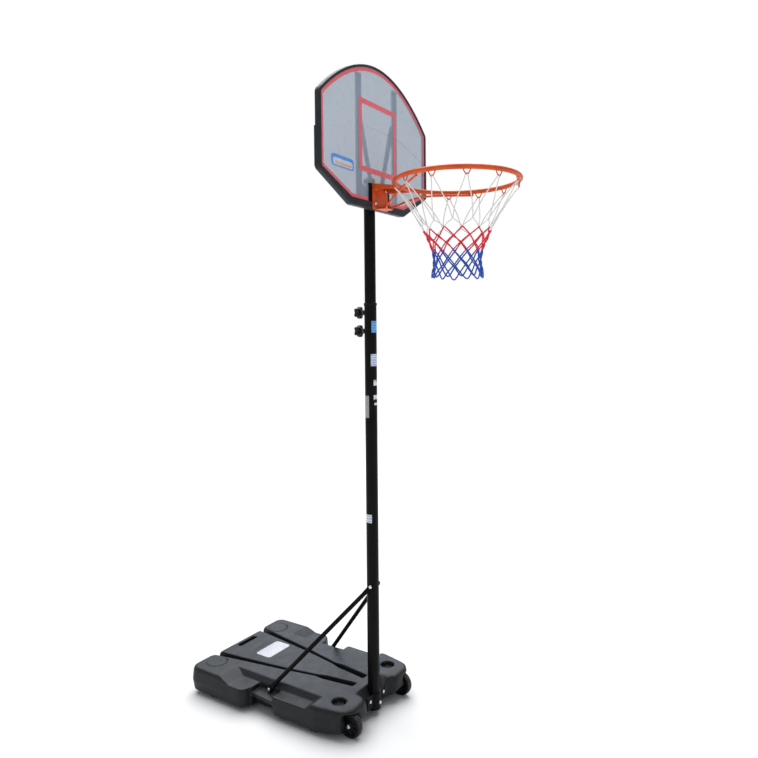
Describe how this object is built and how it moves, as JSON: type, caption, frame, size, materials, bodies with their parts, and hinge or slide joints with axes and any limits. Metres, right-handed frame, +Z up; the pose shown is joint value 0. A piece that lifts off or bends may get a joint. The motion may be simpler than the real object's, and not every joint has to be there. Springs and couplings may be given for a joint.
{
  "type": "portable basketball hoop",
  "caption": "Portable basketball hoop: wheeled ballast tank, strutted telescopic pole with star knobs, arched backboard, and a braced ring with a hanging net.",
  "frame": {"origin": "bottom centre of the object's box, on the floor", "axes": "+Z up along the pole; the hoop faces -Y; the tank and struts lie towards +Y; +X is the object's own left-to-right width"},
  "size_m": [0.778, 1.4256, 2.648],
  "materials": {
    "tank_plastic": "blow-moulded polyethylene, fine grain",
    "wheel_plastic": "moulded plastic, scuffed tread",
    "black_plastic": "moulded plastic",
    "black_steel": "satin black powder coat",
    "zinc_steel": "bright zinc plate",
    "frame_plastic": "moulded plastic, slate",
    "panel_plastic": "translucent grey sheet",
    "orange_steel": "orange powder coat",
    "net_cord": "braided cord in white, red and blue"
  },
  "bodies": {
    "base": {"base_tank": "tank_plastic", "pole_foot_plug": "black_plastic", "strut_left": "black_steel", "strut_right": "black_steel", "pole_base_bracket": "black_steel", "lower_pole": "black_steel", "middle_pole": "black_steel", "pole_collar": "black_steel", "knob_nut_upper": "black_steel", "knob_nut_lower": "black_steel", "axle_bolt_left": "zinc_steel", "axle_bolt_right": "zinc_steel", "axle_insert_left": "zinc_steel", "axle_insert_right": "zinc_steel", "strut_foot_bolt_left": "zinc_steel", "strut_foot_bolt_right": "zinc_steel", "strut_insert_left": "zinc_steel", "strut_insert_right": "zinc_steel", "strut_top_bolt": "zinc_steel", "strut_top_nut": "zinc_steel", "base_bolt_left": "zinc_steel", "base_bolt_right": "zinc_steel", "base_bracket_screw": "zinc_steel"},
    "mast": {"upper_pole": "black_steel", "pole_top_cap": "black_plastic", "board_frame_upper": "frame_plastic", "board_frame_lower": "frame_plastic", "board_panel_upper": "panel_plastic", "board_panel_lower": "panel_plastic", "board_bar_left": "zinc_steel", "board_bar_right": "zinc_steel", "board_strap_left": "zinc_steel", "board_strap_right": "zinc_steel", "board_bracket": "black_steel", "clamp_bolt_lower": "zinc_steel", "clamp_bolt_upper": "zinc_steel", "clamp_nut_lower": "zinc_steel", "clamp_nut_upper": "zinc_steel", "rim_bolt_lower_left": "zinc_steel", "rim_bolt_lower_right": "zinc_steel", "rim_bolt_upper_left": "zinc_steel", "rim_bolt_upper_right": "zinc_steel", "rim_nut_lower_left": "zinc_steel", "rim_nut_lower_right": "zinc_steel", "rim_nut_upper_left": "zinc_steel", "rim_nut_upper_right": "zinc_steel", "rim_bracket": "orange_steel", "rim_ring": "orange_steel", "rim_brace_left": "orange_steel", "rim_brace_right": "orange_steel", "net": "net_cord"},
    "wheel_left": {"wheel_left": "wheel_plastic"},
    "wheel_right": {"wheel_right": "wheel_plastic"},
    "cap_left": {"filler_cap_left": "tank_plastic"},
    "cap_right": {"filler_cap_right": "tank_plastic"},
    "washer_upper": {"knob_washer_upper": "zinc_steel"},
    "washer_lower": {"knob_washer_lower": "zinc_steel"},
    "knob_upper": {"star_knob_upper": "black_plastic"},
    "knob_lower": {"star_knob_lower": "black_plastic"}
  },
  "joints": [
    {"name": "height_slide", "type": "slide", "parent": "base", "child": "mast", "axis": [0, 0, 1], "range_m": [-0.17, 0.15]},
    {"name": "wheel_left_spin", "type": "hinge", "parent": "base", "child": "wheel_left", "pos_m": [-0.188, -0.08825, 0.05], "axis": [1, 0, 0], "continuous": true},
    {"name": "wheel_right_spin", "type": "hinge", "parent": "base", "child": "wheel_right", "pos_m": [0.188, -0.08825, 0.05], "axis": [1, 0, 0], "continuous": true},
    {"name": "cap_left_lift", "type": "slide", "parent": "base", "child": "cap_left", "axis": [0, 0, 1], "range_m": [0, 0.06]},
    {"name": "cap_right_lift", "type": "slide", "parent": "base", "child": "cap_right", "axis": [0, 0, 1], "range_m": [0, 0.06]},
    {"name": "washer_upper_slide", "type": "slide", "parent": "base", "child": "washer_upper", "axis": [0, 1, 0], "range_m": [0, 0.0088]},
    {"name": "knob_upper_turn", "type": "hinge", "parent": "washer_upper", "child": "knob_upper", "pos_m": [0, -0.02725, 1.673], "axis": [0, 1, 0], "range_deg": [0, 2520]},
    {"name": "washer_lower_slide", "type": "slide", "parent": "base", "child": "washer_lower", "axis": [0, 1, 0], "range_m": [0, 0.0088]},
    {"name": "knob_lower_turn", "type": "hinge", "parent": "washer_lower", "child": "knob_lower", "pos_m": [0, -0.02725, 1.597], "axis": [0, 1, 0], "range_deg": [0, 2520]}
  ],
  "couplings": [
    {"joint": "washer_upper_slide", "follows": "knob_upper_turn", "m_per_rad": 0.00019894},
    {"joint": "washer_lower_slide", "follows": "knob_lower_turn", "m_per_rad": 0.00019894}
  ]
}
